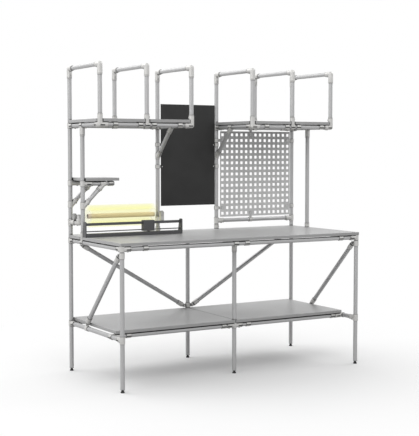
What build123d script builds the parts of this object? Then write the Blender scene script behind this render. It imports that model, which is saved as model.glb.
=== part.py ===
from build123d import *
import os

os.makedirs("parts", exist_ok=True)

# A packing table made of round tube and clamped tube joints. It carries a worktop, a lower shelf,
# two divided top shelves, a small side shelf, a perforated panel, a back board, a film roll on two
# arms and a sliding film cutter. Millimetres, +Z up, +Y to the rear, +X to the right.
# The origin is on the floor, under the middle of the four corner tubes.

# Directions
right = Vector(1, 0, 0)
back = Vector(0, 1, 0)
up = Vector(0, 0, 1)
left = -right
front = -back
down = -up

# Clearances
fit = 0.3
overrun = 10

# Tubes and the sleeves of their joints
tube_diameter = 28
tube_wall = 1.5
sleeve_wall = 2.7
collar_half = 17
post_collar_half = 22
tee_reach = 68
corner_reach = 57
tube_butt_gap = 1
tube_radius = tube_diameter / 2
tube_bore_radius = tube_radius - tube_wall
sleeve_bore_radius = tube_radius + fit
sleeve_radius = sleeve_bore_radius + sleeve_wall
tube_butt = tube_radius + tube_butt_gap
core_stop = sleeve_radius
core_butt = core_stop + fit

# Grooves at the mouths of the sleeves, and the grub screws that hold the tubes
groove_inset = 4
groove_width = 3
groove_depth = 1.2
boss_inset = 18
boss_radius = 6
boss_height = 2.5
grub_radius = 2.9
grub_recess = 0.6
key_width = 3
key_depth = 2

# Plan of the frame, measured between tube axes
post_x = 886
post_y = 386
inner_x = 236
side_post_y = 186
lower_setback = 150
top_shelf_depth = 472
divider_x = (post_x + inner_x) / 2
lower_front_y = lower_setback - post_y
shelf_front_y = post_y - top_shelf_depth

# Heights of the board tops, of the divider bars and of the tube ends at the feet
board_thickness = 19
worktop_height = 906
lower_shelf_height = 355
top_shelf_rise = 754
small_shelf_rise = 378
divider_height = 336
leg_bottom = 20
top_shelf_height = worktop_height + top_shelf_rise
small_shelf_height = worktop_height + small_shelf_rise
hoop_z = top_shelf_height + divider_height
rail_drop = board_thickness + fit + sleeve_radius
worktop_rail_z = worktop_height - rail_drop
lower_rail_z = lower_shelf_height - rail_drop
top_rail_z = top_shelf_height - rail_drop
small_rail_z = small_shelf_height - rail_drop

# Boards
notch_gap = 0.5
board_edge = 0.8
lower_side_gap = 2
lower_front_overhang = 19
lower_seam = 4
notch_run = 2 * tube_diameter
tube_notch = tube_radius + notch_gap
sleeve_notch = sleeve_radius + notch_gap

# Forty-five degree joints: collar lengths on both sides of the crossing, and the socket
angle_collar_back = 12
angle_collar_ahead = 30
angle_reach = 60
angle_stop = 35
shelf_strut_drop = 208

# Swivel joints of the braces
pivot_offset = 34
swivel_collar_half = 18
swivel_eye_radius = 11
tongue_thickness = 8
cheek_thickness = 5
fork_root = 14
swivel_stop = 22
swivel_reach = 55
pivot_radius = 4
pivot_head_radius = 6.5
pivot_head_height = 4
swivel_gap = 5
side_brace_top_z = worktop_rail_z - collar_half - swivel_gap - swivel_collar_half
rear_brace_x = post_x - corner_reach - swivel_gap - swivel_collar_half

# Elbows of the divider hoops and of the roll arms
hoop_bar_reach = 56
hoop_leg_reach = 65
arm_elbow_reach = 40
arm_tip_reach = 54

# Board clips and their screws
clip_half = 16
clip_slot = 5
wing_length = 32
wing_half_width = 10
wing_thickness = 2.4
clip_screw_y = 26
clip_screw_radius = 2
clip_head_radius = 4
clip_head_height = 2.5
clip_screw_bite = 12
worktop_left_clip_inset = 157
worktop_right_clip_inset = 135
lower_left_clip_inset = 112
lower_right_clip_inset = 88
middle_clip_left = 83
middle_clip_right = 105
divider_clip_step = 48
left_outer_clip_inset = 102
left_inner_clip_inset = 89
right_inner_clip_inset = 108
right_outer_clip_inset = 82
small_clip_inset = 196
worktop_clip_x = (
    worktop_left_clip_inset - post_x,
    -middle_clip_left,
    post_x - worktop_right_clip_inset,
)
lower_clip_x = (
    lower_left_clip_inset - post_x,
    -middle_clip_left,
    middle_clip_right,
    post_x - lower_right_clip_inset,
)
left_clip_x = (
    left_outer_clip_inset - post_x,
    -divider_x - divider_clip_step,
    -divider_x + divider_clip_step,
    -inner_x - left_inner_clip_inset,
)
right_clip_x = (
    inner_x + right_inner_clip_inset,
    divider_x - divider_clip_step,
    divider_x + divider_clip_step,
    post_x - right_outer_clip_inset,
)
small_clip_x = small_clip_inset - post_x

# Small side shelf
small_tube_length = 220
small_board_length = 251
small_tube_end_x = small_tube_length - post_x
small_board_end_x = small_board_length - post_x
small_strut_drop = 150
small_board_front = 20

# Sheets in front of the rear posts, with their clips and rivets
sheet_thickness = 2
sheet_offset = 8
sheet_clip_half = 12
tongue_reach = 33
tongue_half_width = 10
tongue_plate = 4
rivet_reach = 30
rivet_radius = 2
rivet_head_radius = 4
rivet_head_height = 1.5
rivet_tail_radius = 3
tongue_y = fit - sheet_offset
panel_tongue_reach = 60
panel_rivet_reach = 47
panel_rivet_head_radius = 13
panel_gap = 25
panel_hole = 20
panel_pitch = 40
panel_rail_rise = 58
panel_clip_rows = 6
panel_rail_z = worktop_height + panel_rail_rise
panel_left_x = inner_x + panel_gap
panel_right_x = post_x - panel_gap
panel_bottom = panel_rail_z + panel_gap
panel_top = top_rail_z - panel_gap
panel_columns = int((panel_right_x - panel_left_x - panel_hole) // panel_pitch) + 1
panel_rows = int((panel_top - panel_bottom - panel_hole) // panel_pitch) + 1
panel_z = (panel_bottom + panel_top) / 2
panel_clip_x = divider_x - panel_pitch
panel_clip_heights = (
    panel_z - panel_clip_rows * panel_pitch,
    panel_z + panel_clip_rows * panel_pitch,
)
back_board_gap = 20
back_board_rise = 173
back_board_above_shelf = 120
back_board_lower_clip = 272
back_board_upper_clip = 423
back_board_half_width = inner_x - back_board_gap
back_board_bottom = worktop_height + back_board_rise
back_board_top = top_shelf_height + back_board_above_shelf
back_board_clip_heights = (
    back_board_bottom + back_board_lower_clip,
    back_board_bottom + back_board_upper_clip,
)

# Roll of film. The caps of its axle lie on two arms that turn a little towards each other.
arm_rise = 83
arm_z = worktop_height + arm_rise
arm_swing = 12.6
arm_length = 98.5
axle_y = 327
axle_cap_radius = 22
axle_cap_thickness = 17
axle_cap_inset = 11
film_left_gap = 99
film_right_gap = 64
film_left_x = film_left_gap - post_x
film_right_x = -inner_x - film_right_gap
film_diameter = 150
film_bore_radius = 40
core_wall = 1.7
core_proud = 3
cone_flange_radius = 43
cone_flange_length = 3
cone_taper_length = 12
cone_tip_radius = 37

# Film cutter
cutter_right_overhang = 42
cutter_left_x = -post_x - tube_radius
cutter_right_x = cutter_right_overhang - inner_x
cutter_front_y = 110
cutter_depth = 52
cutter_base_height = 21.2
cutter_wall = 3
cutter_base_z = worktop_height + fit
cutter_deck_z = cutter_base_z + cutter_base_height
end_plate_thickness = 6
end_plate_height = 99
end_plate_top_depth = 34
end_plate_corner = 8
guide_height = 17
guide_depth = 16
guide_y = 140
guide_rise = 80.7
guide_z = cutter_base_z + guide_rise
rod_radius = 3.5
rod_rise = 34.7
rod_z = cutter_base_z + rod_rise
carriage_from_right = 248
carriage_x = cutter_right_x - carriage_from_right
carriage_length = 80
carriage_front_y = 112
carriage_back_y = 154
carriage_lift = 5
carriage_height = 70.5
carriage_bottom_z = cutter_deck_z + carriage_lift
carriage_top_z = carriage_bottom_z + carriage_height
carriage_corner = 4
guide_play = 0.5
blade_radius = 22
blade_thickness = 1.5
blade_y = 124
blade_gap = 0.7
blade_slot_gap = 1.5
blade_hub_radius = 3
blade_bevel = 3
blade_groove_width = 4
blade_groove_depth = 2.2

# Levelling feet
foot_radius = 12.5
foot_rim = 4
foot_neck_radius = 7
foot_neck_z = 14
stud_radius = 4
stud_top_z = 62
insert_flange = 2
insert_depth = 30


def rod(start, end, radius, mode=Mode.ADD):
    """Round bar between two points."""
    way = Vector(*end) - Vector(*start)
    with BuildSketch(Plane(origin=start, z_dir=way)) as section:
        Circle(radius)
    extrude(section.sketch, amount=way.length, mode=mode)


def pipe(start, end, outer=tube_radius, inner=tube_bore_radius):
    """Hollow tube between two points."""
    way = Vector(*end) - Vector(*start)
    with BuildSketch(Plane(origin=start, z_dir=way)) as ring:
        Circle(outer)
        Circle(inner, mode=Mode.SUBTRACT)
    extrude(ring.sketch, amount=way.length)


def block(low, high, mode=Mode.ADD):
    """Rectangular block between its lowest and highest corner."""
    size = Vector(*high) - Vector(*low)
    with BuildSketch(Plane(origin=low)) as base:
        Rectangle(size.X, size.Y, align=(Align.MIN, Align.MIN))
    extrude(base.sketch, amount=size.Z, mode=mode)


def through(way, low, high):
    """Sleeve that a tube runs right through."""
    return way, low, high, low - overrun, None


def socket(way, reach, screw_side, bore_from=0):
    """Sleeve that a tube ends in, with a grub screw on one side."""
    return way, 0, reach, bore_from, screw_side


def joint_shell(sleeves, cored=False):
    """Cast shell of crossing sleeves. A cored shell has a ball at the crossing."""
    if cored:
        Sphere(sleeve_radius)
    for way, low, high, bore_from, screw_side in sleeves:
        rod(way * low, way * high, sleeve_radius)
        if screw_side:
            foot = way * (high - boss_inset)
            rod(foot, foot + screw_side * (sleeve_radius + boss_height), boss_radius)
    for way, low, high, bore_from, screw_side in sleeves:
        rod(way * bore_from, way * (high + overrun), sleeve_bore_radius, Mode.SUBTRACT)
        if screw_side:
            foot = way * (high - boss_inset)
            reach = sleeve_radius + boss_height + overrun
            rod(foot, foot + screw_side * reach, grub_radius + fit, Mode.SUBTRACT)
            mouth = Plane(origin=way * (high - groove_inset - groove_width), z_dir=way)
            with BuildSketch(mouth) as ring:
                Circle(sleeve_radius + overrun)
                Circle(sleeve_radius - groove_depth, mode=Mode.SUBTRACT)
            extrude(ring.sketch, amount=groove_width, mode=Mode.SUBTRACT)


def grub_screws(sleeves):
    """Grub screws of one joint shell, each with a hexagonal key hole."""
    for way, low, high, bore_from, screw_side in sleeves:
        if screw_side:
            foot = way * (high - boss_inset)
            inner_end = foot + screw_side * (tube_radius + fit)
            outer_end = foot + screw_side * (sleeve_radius + boss_height - grub_recess)
            rod(inner_end, outer_end, grub_radius)
            with BuildSketch(Plane(origin=outer_end, z_dir=-screw_side)) as key:
                RegularPolygon(key_width / 2, 6, major_radius=False)
            extrude(key.sketch, amount=key_depth, mode=Mode.SUBTRACT)


def swivel_collar_shell(sides):
    """Collar along Z with an eye on each of the given sides, its pivots along Y."""
    rod(down * swivel_collar_half, up * swivel_collar_half, sleeve_radius)
    for side in sides:
        eye_plane = Plane(origin=(0, -tongue_thickness / 2, 0), x_dir=side, z_dir=back)
        with BuildSketch(eye_plane) as eye:
            with Locations((pivot_offset / 2, 0)):
                Rectangle(pivot_offset, 2 * swivel_eye_radius)
            with Locations((pivot_offset, 0)):
                Circle(swivel_eye_radius)
        extrude(eye.sketch, amount=tongue_thickness)
    bore_half = swivel_collar_half + overrun
    rod(down * bore_half, up * bore_half, sleeve_bore_radius, Mode.SUBTRACT)
    for side in sides:
        pivot = side * pivot_offset
        half = tongue_thickness
        rod(pivot + front * half, pivot + back * half, pivot_radius + fit, Mode.SUBTRACT)


def sheet_clip_shell(reach, rivet_at):
    """Collar along Z, slotted at its back, with a tongue along X and a rivet hole in it."""
    rod(down * sheet_clip_half, up * sheet_clip_half, sleeve_radius)
    tongue_low = (0, tongue_y, -tongue_half_width)
    block(tongue_low, (reach, tongue_y + tongue_plate, tongue_half_width))
    clip_end = sheet_clip_half + overrun
    rod(down * clip_end, up * clip_end, sleeve_bore_radius, Mode.SUBTRACT)
    slot_low = (-sleeve_radius - overrun, -clip_slot / 2, -clip_end)
    block(slot_low, (0, clip_slot / 2, clip_end), Mode.SUBTRACT)
    hole_foot = (rivet_at, tongue_y - overrun, 0)
    hole_end = (rivet_at, tongue_y + tongue_plate + overrun, 0)
    rod(hole_foot, hole_end, rivet_radius + fit, Mode.SUBTRACT)


def rivet_solid(rivet_at, head_radius):
    """Rivet through a sheet and the tongue behind it, with its head on the sheet."""
    head = Vector(rivet_at, -sheet_offset - sheet_thickness - fit, 0)
    tail = Vector(rivet_at, tongue_y + tongue_plate + fit, 0)
    rod(head, tail, rivet_radius)
    rod(head + front * rivet_head_height, head, head_radius)
    rod(tail, tail + back * rivet_head_height, rivet_tail_radius)


def board(low_corner, high_corner, top, notches, screw_places):
    """Flat board with notches round the tubes and blind holes for the clip screws.

    A notch is a centre, a radius and the sides, if any, on which it opens to the edge.
    """
    bottom = top - board_thickness
    x_low, y_low = low_corner
    x_high, y_high = high_corner
    with BuildSketch(Plane.XY.offset(bottom)) as outline:
        with Locations(((x_low + x_high) / 2, (y_low + y_high) / 2)):
            Rectangle(x_high - x_low, y_high - y_low)
        for x, y, radius, open_x, open_y in notches:
            with Locations((x, y)):
                Circle(radius, mode=Mode.SUBTRACT)
            if open_x:
                with Locations((x + open_x * notch_run / 2, y)):
                    Rectangle(notch_run, 2 * radius, mode=Mode.SUBTRACT)
            if open_y:
                with Locations((x, y + open_y * notch_run / 2)):
                    Rectangle(2 * radius, notch_run, mode=Mode.SUBTRACT)
    extrude(outline.sketch, amount=board_thickness)
    for x, y in screw_places:
        hole_top = bottom + clip_screw_bite + fit
        rod((x, y, bottom - overrun), (x, y, hole_top), clip_screw_radius + fit, Mode.SUBTRACT)


def edge_board(piece):
    """Breaks the top edges of a board."""
    top_face = piece.faces().sort_by(Axis.Z)[-1]
    chamfer(top_face.edges(), length=board_edge)


# Joint types. Each is made once about its crossing point, and then placed.
rail_tee_sleeves = (
    through(right, -collar_half, collar_half),
    socket(up, tee_reach, right),
)
post_tee_sleeves = (
    through(right, -post_collar_half, post_collar_half),
    socket(up, corner_reach, right),
)
corner_sleeves = (
    through(up, -collar_half, collar_half),
    socket(right, corner_reach, down),
    socket(back, corner_reach, down),
)
cross_sleeves = (
    through(up, -collar_half, collar_half),
    socket(right, corner_reach, down),
    socket(left, corner_reach, down),
)
shelf_corner_sleeves = (
    socket(right, corner_reach, down, core_stop),
    socket(back, corner_reach, down, core_stop),
    socket(up, tee_reach, (right + back).normalized(), core_stop),
)
hoop_elbow_sleeves = (
    socket(right, hoop_bar_reach, down, core_stop),
    socket(down, hoop_leg_reach, right, core_stop),
)
arm_elbow_sleeves = (
    socket(right, arm_elbow_reach, down, core_stop),
    socket(up, arm_tip_reach, left, core_stop),
)
slant = (right + up).normalized()
angle_sleeves = (
    through(up, -angle_collar_back, angle_collar_ahead),
    socket(slant, angle_reach, (right - up).normalized(), angle_stop - fit),
)

# Roll arms, each from its post to its tip
arm_bases = (Vector(-post_x, post_y, arm_z), Vector(-inner_x, post_y, arm_z))
arm_ways = (front.rotate(Axis.Z, arm_swing), front.rotate(Axis.Z, -arm_swing))
roll_arm_lines = list(zip(arm_bases, arm_ways))

# Where the joints are: the X and Z of each plane are the directions of that joint type
rail_tees = [
    Plane((0, lower_front_y, worktop_rail_z), x_dir=back, z_dir=down),
    Plane((0, -post_y, worktop_rail_z), x_dir=right, z_dir=back),
]
for side in (-1, 1):
    rail_tees += [
        Plane((side * post_x, side_post_y, worktop_rail_z), x_dir=back, z_dir=up),
        Plane((side * post_x, side_post_y, top_rail_z), x_dir=back, z_dir=down),
        Plane((side * inner_x, post_y, worktop_rail_z), x_dir=right, z_dir=up),
        Plane((side * post_x, lower_front_y, lower_rail_z), x_dir=back, z_dir=right * -side),
        Plane((side * divider_x, shelf_front_y, top_rail_z), x_dir=right, z_dir=up),
        Plane((side * divider_x, post_y, top_rail_z), x_dir=right, z_dir=up),
    ]
for y in (side_post_y, post_y):
    rail_tees.append(Plane((-post_x, y, small_rail_z), x_dir=down, z_dir=right))
post_tees = [
    Plane((-post_x, -post_y, lower_rail_z), x_dir=down, z_dir=back),
    Plane((post_x, -post_y, lower_rail_z), x_dir=down, z_dir=back),
    Plane((inner_x, post_y, panel_rail_z), x_dir=down, z_dir=right),
    Plane((post_x, post_y, panel_rail_z), x_dir=down, z_dir=left),
]
corners = [
    Plane((-post_x, -post_y, worktop_rail_z), x_dir=right, z_dir=up),
    Plane((post_x, -post_y, worktop_rail_z), x_dir=back, z_dir=up),
    Plane((0, post_y, worktop_rail_z), x_dir=front, z_dir=right),
    Plane((-inner_x, post_y, top_rail_z), x_dir=left, z_dir=up),
    Plane((inner_x, post_y, top_rail_z), x_dir=front, z_dir=up),
]
for rail_z in (lower_rail_z, worktop_rail_z, top_rail_z):
    corners += [
        Plane((-post_x, post_y, rail_z), x_dir=front, z_dir=up),
        Plane((post_x, post_y, rail_z), x_dir=left, z_dir=up),
    ]
crosses = [
    Plane((0, lower_front_y, lower_rail_z), x_dir=right, z_dir=up),
    Plane((0, post_y, lower_rail_z), x_dir=right, z_dir=up),
]
shelf_corners = [
    Plane((-post_x, shelf_front_y, top_rail_z), x_dir=right, z_dir=up),
    Plane((-inner_x, shelf_front_y, top_rail_z), x_dir=back, z_dir=up),
    Plane((inner_x, shelf_front_y, top_rail_z), x_dir=right, z_dir=up),
    Plane((post_x, shelf_front_y, top_rail_z), x_dir=back, z_dir=up),
]
hoop_xs = (-post_x, -divider_x, -inner_x, inner_x, divider_x, post_x)
hoop_elbows = []
for x in hoop_xs:
    hoop_elbows += [
        Plane((x, shelf_front_y, hoop_z), x_dir=back, z_dir=up),
        Plane((x, post_y, hoop_z), x_dir=front, z_dir=up),
    ]
arm_elbows = []
for base, way in roll_arm_lines:
    post_tees.append(Plane(base, x_dir=down, z_dir=way))
    arm_elbows.append(Plane(base + way * arm_length, x_dir=-way, z_dir=up))

# Struts at forty-five degrees, from a post up to a rail
shelf_strut_z = top_rail_z - shelf_strut_drop
shelf_strut_y = post_y - shelf_strut_drop
small_strut_z = small_rail_z - small_strut_drop
small_strut_x = small_strut_drop - post_x
angles = []
for side in (-1, 1):
    angles += [
        Plane((side * inner_x, post_y, shelf_strut_z), x_dir=front, z_dir=up),
        Plane((side * inner_x, shelf_strut_y, top_rail_z), x_dir=down, z_dir=back),
    ]
for y in (side_post_y, post_y):
    angles += [
        Plane((-post_x, y, small_strut_z), x_dir=right, z_dir=up),
        Plane((small_strut_x, y, small_rail_z), x_dir=down, z_dir=left),
    ]

# Braces run from pivot to pivot. Their swivel collars sit on the tube beside each pivot.
side_brace_low_z = lower_rail_z + pivot_offset
side_brace_run = side_brace_top_z - side_brace_low_z
side_brace_top_y = pivot_offset - post_y
side_brace_low_y = side_brace_top_y + side_brace_run
rear_brace_top_z = worktop_rail_z - pivot_offset
rear_brace_low_z = lower_shelf_height + fit + swivel_collar_half
braces = []
single_swivels = []
for side in (-1, 1):
    side_top = Vector(side * post_x, side_brace_top_y, side_brace_top_z)
    side_low = Vector(side * post_x, side_brace_low_y, side_brace_low_z)
    rear_top = Vector(side * rear_brace_x, post_y, rear_brace_top_z)
    rear_low = Vector(side * pivot_offset, post_y, rear_brace_low_z)
    braces += [(side_top, side_low, right), (rear_top, rear_low, back)]
    single_swivels += [
        Plane((side * post_x, -post_y, side_brace_top_z), x_dir=back, z_dir=up),
        Plane((side * post_x, side_brace_low_y, lower_rail_z), x_dir=up, z_dir=back),
        Plane((side * rear_brace_x, post_y, worktop_rail_z), x_dir=down, z_dir=right),
    ]
double_swivels = [Plane((0, post_y, rear_brace_low_z), x_dir=right, z_dir=up)]
brace_sockets = []
for top, low, pivot_axis in braces:
    way = (low - top).normalized()
    brace_sockets += [
        Plane(top, x_dir=pivot_axis.cross(way), z_dir=way),
        Plane(low, x_dir=pivot_axis.cross(-way), z_dir=-way),
    ]

# Board clips: X runs along the rail, and Y points inwards under the board
rear_end_clips = (0, -1)
worktop_clips = []
for x in worktop_clip_x:
    worktop_clips += [
        Plane((x, -post_y, worktop_rail_z), x_dir=right, z_dir=up),
        Plane((x, post_y, worktop_rail_z), x_dir=left, z_dir=up),
    ]
lower_clips = []
for x in lower_clip_x:
    lower_clips += [
        Plane((x, lower_front_y, lower_rail_z), x_dir=right, z_dir=up),
        Plane((x, post_y, lower_rail_z), x_dir=left, z_dir=up),
    ]
top_clips = []
for clip_xs in (left_clip_x, right_clip_x):
    for x in clip_xs:
        top_clips.append(Plane((x, shelf_front_y, top_rail_z), x_dir=right, z_dir=up))
    for end in rear_end_clips:
        top_clips.append(Plane((clip_xs[end], post_y, top_rail_z), x_dir=left, z_dir=up))
small_clips = [
    Plane((small_clip_x, side_post_y, small_rail_z), x_dir=right, z_dir=up),
    Plane((small_clip_x, post_y, small_rail_z), x_dir=left, z_dir=up),
]


def screw_places(clips, x_low, x_high):
    """Where the screws of the clips meet the board between two X values."""
    places = [plane.origin + plane.y_dir * clip_screw_y for plane in clips]
    return [(place.X, place.Y) for place in places if x_low < place.X < x_high]


# Sheets: clips on the posts and rails, with the tongue along X and the sheet on the -Y side
sheet_back_y = post_y - sheet_offset
panel_clips = [
    Plane((panel_clip_x, post_y, top_rail_z), x_dir=down, z_dir=right),
    Plane((panel_clip_x, post_y, panel_rail_z), x_dir=up, z_dir=left),
]
for z in panel_clip_heights:
    panel_clips += [
        Plane((inner_x, post_y, z), x_dir=right, z_dir=up),
        Plane((post_x, post_y, z), x_dir=left, z_dir=down),
    ]
back_board_clips = []
for z in back_board_clip_heights:
    back_board_clips += [
        Plane((-inner_x, post_y, z), x_dir=right, z_dir=up),
        Plane((inner_x, post_y, z), x_dir=left, z_dir=down),
    ]

# Upright tubes
hoop_leg_top = hoop_z - core_butt
uprights = {
    "post_rear_left": (-post_x, post_y, leg_bottom, hoop_leg_top),
    "post_rear_right": (post_x, post_y, leg_bottom, hoop_leg_top),
    "post_inner_left": (-inner_x, post_y, worktop_rail_z + tube_butt, hoop_leg_top),
    "post_inner_right": (inner_x, post_y, worktop_rail_z + tube_butt, hoop_leg_top),
    "post_side_left": (-post_x, side_post_y, worktop_rail_z + tube_butt, top_rail_z - tube_butt),
    "post_side_right": (post_x, side_post_y, worktop_rail_z + tube_butt, top_rail_z - tube_butt),
    "leg_front_left": (-post_x, -post_y, leg_bottom, worktop_rail_z + collar_half),
    "leg_front_right": (post_x, -post_y, leg_bottom, worktop_rail_z + collar_half),
    "leg_front_middle": (0, lower_front_y, leg_bottom, worktop_rail_z - tube_butt),
    "leg_rear_middle": (0, post_y, leg_bottom, worktop_rail_z - tube_butt),
}
for name, (x, y, bottom, top) in uprights.items():
    with BuildPart() as upright:
        pipe((x, y, bottom), (x, y, top))
    upright.part.label = name
    export_step(upright.part, f"parts/{name}.step")

# Rails under the worktop
rail_end_x = post_x - tube_butt
rail_end_y = post_y - tube_butt
with BuildPart() as worktop_front_rail:
    pipe((-rail_end_x, -post_y, worktop_rail_z), (rail_end_x, -post_y, worktop_rail_z))
worktop_front_rail.part.label = "worktop_front_rail"
export_step(worktop_front_rail.part, "parts/worktop_front_rail.step")

with BuildPart() as worktop_rear_rail:
    pipe((-rail_end_x, post_y, worktop_rail_z), (rail_end_x, post_y, worktop_rail_z))
worktop_rear_rail.part.label = "worktop_rear_rail"
export_step(worktop_rear_rail.part, "parts/worktop_rear_rail.step")

with BuildPart() as worktop_cross_rails:
    for x in (-post_x, 0, post_x):
        pipe((x, -rail_end_y, worktop_rail_z), (x, rail_end_y, worktop_rail_z))
worktop_cross_rails.part.label = "worktop_cross_rails"
export_step(worktop_cross_rails.part, "parts/worktop_cross_rails.step")

# Rails under the lower shelf
with BuildPart() as lower_side_rails:
    for x in (-post_x, post_x):
        pipe((x, -rail_end_y, lower_rail_z), (x, rail_end_y, lower_rail_z))
lower_side_rails.part.label = "lower_side_rails"
export_step(lower_side_rails.part, "parts/lower_side_rails.step")

with BuildPart() as lower_long_rails:
    for y in (lower_front_y, post_y):
        pipe((-rail_end_x, y, lower_rail_z), (-tube_butt, y, lower_rail_z))
        pipe((tube_butt, y, lower_rail_z), (rail_end_x, y, lower_rail_z))
lower_long_rails.part.label = "lower_long_rails"
export_step(lower_long_rails.part, "parts/lower_long_rails.step")

# Braces under the worktop
with BuildPart() as brace_tubes:
    for top, low, pivot_axis in braces:
        way = (low - top).normalized()
        pipe(top + way * (swivel_stop + fit), low - way * (swivel_stop + fit))
brace_tubes.part.label = "brace_tubes"
export_step(brace_tubes.part, "parts/brace_tubes.step")

# Frames of the two top shelves
for name, x_low, x_high in (
    ("top_frame_left", -post_x, -inner_x),
    ("top_frame_right", inner_x, post_x),
):
    with BuildPart() as top_frame:
        pipe((x_low + tube_butt, post_y, top_rail_z), (x_high - tube_butt, post_y, top_rail_z))
        front_left = (x_low + core_butt, shelf_front_y, top_rail_z)
        pipe(front_left, (x_high - core_butt, shelf_front_y, top_rail_z))
        for x in (x_low, x_high):
            pipe((x, shelf_front_y + core_butt, top_rail_z), (x, rail_end_y, top_rail_z))
    top_frame.part.label = name
    export_step(top_frame.part, f"parts/{name}.step")

# Struts under the inner ends of the top shelves
strut_butt = slant.X * angle_stop
with BuildPart() as shelf_struts:
    for x in (-inner_x, inner_x):
        low_end = (x, post_y - strut_butt, shelf_strut_z + strut_butt)
        pipe(low_end, (x, shelf_strut_y + strut_butt, top_rail_z - strut_butt))
shelf_struts.part.label = "shelf_struts"
export_step(shelf_struts.part, "parts/shelf_struts.step")

# Divider hoops. The rear leg of the outer and inner ones is a post of the frame.
dividers = {
    "divider_left_outer": -post_x,
    "divider_left_middle": -divider_x,
    "divider_left_inner": -inner_x,
    "divider_right_inner": inner_x,
    "divider_right_middle": divider_x,
    "divider_right_outer": post_x,
}
for name, x in dividers.items():
    is_middle = abs(x) == divider_x
    front_foot_z = top_rail_z + (tube_butt if is_middle else core_butt)
    with BuildPart() as divider:
        pipe((x, shelf_front_y, front_foot_z), (x, shelf_front_y, hoop_leg_top))
        pipe((x, shelf_front_y + core_butt, hoop_z), (x, post_y - core_butt, hoop_z))
        if is_middle:
            pipe((x, post_y, top_rail_z + tube_butt), (x, post_y, hoop_leg_top))
    divider.part.label = name
    export_step(divider.part, f"parts/{name}.step")

# Tubes and struts of the small side shelf
with BuildPart() as small_shelf_frame:
    for y in (side_post_y, post_y):
        pipe((-rail_end_x, y, small_rail_z), (small_tube_end_x, y, small_rail_z))
        low_end = (-post_x + strut_butt, y, small_strut_z + strut_butt)
        pipe(low_end, (small_strut_x - strut_butt, y, small_rail_z - strut_butt))
small_shelf_frame.part.label = "small_shelf_frame"
export_step(small_shelf_frame.part, "parts/small_shelf_frame.step")

# Arms that carry the roll
with BuildPart() as roll_arms:
    for base, way in roll_arm_lines:
        pipe(base + way * tube_butt, base + way * (arm_length - core_butt))
roll_arms.part.label = "roll_arms"
export_step(roll_arms.part, "parts/roll_arms.step")

# Rail under the perforated panel
with BuildPart() as panel_rail:
    pipe((inner_x + tube_butt, post_y, panel_rail_z), (rail_end_x, post_y, panel_rail_z))
panel_rail.part.label = "panel_rail"
export_step(panel_rail.part, "parts/panel_rail.step")

# Boards
board_x = post_x + tube_radius
board_y = post_y + tube_radius
with BuildPart() as worktop:
    notches = []
    for side in (-1, 1):
        notches.append((side * post_x, post_y, tube_notch, side, 1))
        notches.append((side * post_x, side_post_y, sleeve_notch, side, 0))
        notches.append((side * inner_x, post_y, sleeve_notch, 0, 1))
    places = screw_places(worktop_clips, -board_x, board_x)
    board((-board_x, -board_y), (board_x, board_y), worktop_height, notches, places)
    edge_board(worktop)
worktop.part.label = "worktop"
export_step(worktop.part, "parts/worktop.step")

lower_board_x = post_x - sleeve_radius - lower_side_gap
lower_board_front = lower_front_y - lower_front_overhang
for name, x_low, x_high in (
    ("lower_shelf_left", -lower_board_x, -lower_seam / 2),
    ("lower_shelf_right", lower_seam / 2, lower_board_x),
):
    with BuildPart() as lower_shelf:
        notches = ((0, lower_front_y, tube_notch, 0, 0), (0, post_y, tube_notch, 0, 1))
        places = screw_places(lower_clips, x_low, x_high)
        low_corner = (x_low, lower_board_front)
        board(low_corner, (x_high, board_y), lower_shelf_height, notches, places)
        edge_board(lower_shelf)
    lower_shelf.part.label = name
    export_step(lower_shelf.part, f"parts/{name}.step")

for name, side in (("top_shelf_left", -1), ("top_shelf_right", 1)):
    x_low, x_high = sorted((side * (inner_x - tube_radius), side * board_x))
    with BuildPart() as top_shelf:
        notches = [
            (side * post_x, post_y, tube_notch, side, 1),
            (side * inner_x, post_y, tube_notch, -side, 1),
            (side * divider_x, post_y, sleeve_notch, 0, 1),
            (side * post_x, shelf_front_y, sleeve_notch, side, -1),
            (side * inner_x, shelf_front_y, sleeve_notch, -side, -1),
            (side * divider_x, shelf_front_y, sleeve_notch, 0, -1),
        ]
        places = screw_places(top_clips, x_low, x_high)
        low_corner = (x_low, shelf_front_y - tube_radius)
        board(low_corner, (x_high, board_y), top_shelf_height, notches, places)
        edge_board(top_shelf)
    top_shelf.part.label = name
    export_step(top_shelf.part, f"parts/{name}.step")

small_board_start = tube_radius + fit - post_x
with BuildPart() as small_shelf:
    low_corner = (small_board_start, side_post_y - small_board_front)
    places = screw_places(small_clips, small_board_start, small_board_end_x)
    board(low_corner, (small_board_end_x, board_y), small_shelf_height, (), places)
    edge_board(small_shelf)
small_shelf.part.label = "small_shelf"
export_step(small_shelf.part, "parts/small_shelf.step")

# Tube joints
with BuildPart() as rail_tee:
    joint_shell(rail_tee_sleeves)
with BuildPart() as post_tee:
    joint_shell(post_tee_sleeves)
with BuildPart() as corner:
    joint_shell(corner_sleeves)
with BuildPart() as cross:
    joint_shell(cross_sleeves)
with BuildPart() as shelf_corner:
    joint_shell(shelf_corner_sleeves, cored=True)
with BuildPart() as hoop_elbow:
    joint_shell(hoop_elbow_sleeves, cored=True)
with BuildPart() as arm_elbow:
    joint_shell(arm_elbow_sleeves, cored=True)
with BuildPart() as angle:
    joint_shell(angle_sleeves)
with BuildPart() as single_swivel:
    swivel_collar_shell((right,))
with BuildPart() as double_swivel:
    swivel_collar_shell((right, left))

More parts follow.
